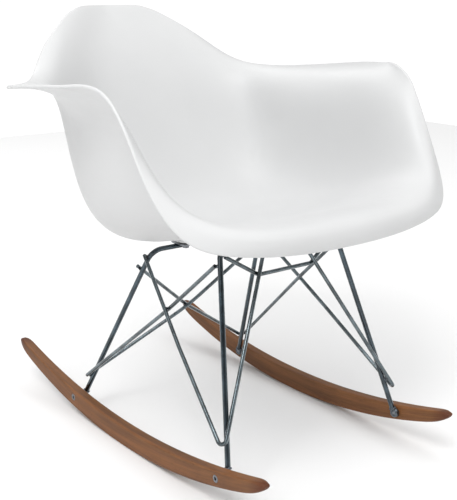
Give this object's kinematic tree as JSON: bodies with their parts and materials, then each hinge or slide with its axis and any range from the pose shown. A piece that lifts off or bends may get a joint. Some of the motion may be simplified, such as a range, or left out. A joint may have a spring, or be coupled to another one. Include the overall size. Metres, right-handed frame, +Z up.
{
  "type": "rocking chair",
  "caption": "Rocking armchair: white moulded plastic shell seat on a chromed wire-strut base with two curved wooden rockers.",
  "frame": {"origin": "on the floor, on the centre plane, midway between the contact faces of the two rockers", "axes": "+Z up, -Y towards the front of the seat, +X towards the sitter's left"},
  "size_m": [0.6494, 0.6898, 0.6611],
  "materials": {
    "white_plastic": "satin",
    "chrome": "polished",
    "zinc_steel": "satin",
    "black_rubber": "matte",
    "brass": "satin",
    "stained_wood": "satin stain"
  },
  "bodies": {
    "root": {"seat_shell": "white_plastic", "spacer_front_right": "black_rubber", "insert_front_right": "brass", "mount_tab_front_right": "zinc_steel", "seat_bolt_front_right": "zinc_steel", "foot_lug_front_right": "zinc_steel", "rocker_bolt_front_right": "zinc_steel", "brace_front_right": "chrome", "spacer_front_left": "black_rubber", "insert_front_left": "brass", "mount_tab_front_left": "zinc_steel", "seat_bolt_front_left": "zinc_steel", "foot_lug_front_left": "zinc_steel", "rocker_bolt_front_left": "zinc_steel", "brace_front_left": "chrome", "spacer_rear_right": "black_rubber", "insert_rear_right": "brass", "mount_tab_rear_right": "zinc_steel", "seat_bolt_rear_right": "zinc_steel", "foot_lug_rear_right": "zinc_steel", "rocker_bolt_rear_right": "zinc_steel", "brace_rear_right": "chrome", "spacer_rear_left": "black_rubber", "insert_rear_left": "brass", "mount_tab_rear_left": "zinc_steel", "seat_bolt_rear_left": "zinc_steel", "foot_lug_rear_left": "zinc_steel", "rocker_bolt_rear_left": "zinc_steel", "brace_rear_left": "chrome", "front_leg_frame": "chrome", "rear_leg_frame": "chrome", "front_cross_wire": "chrome", "rocker_right": "stained_wood", "rocker_left": "stained_wood"}
  },
  "joints": []
}
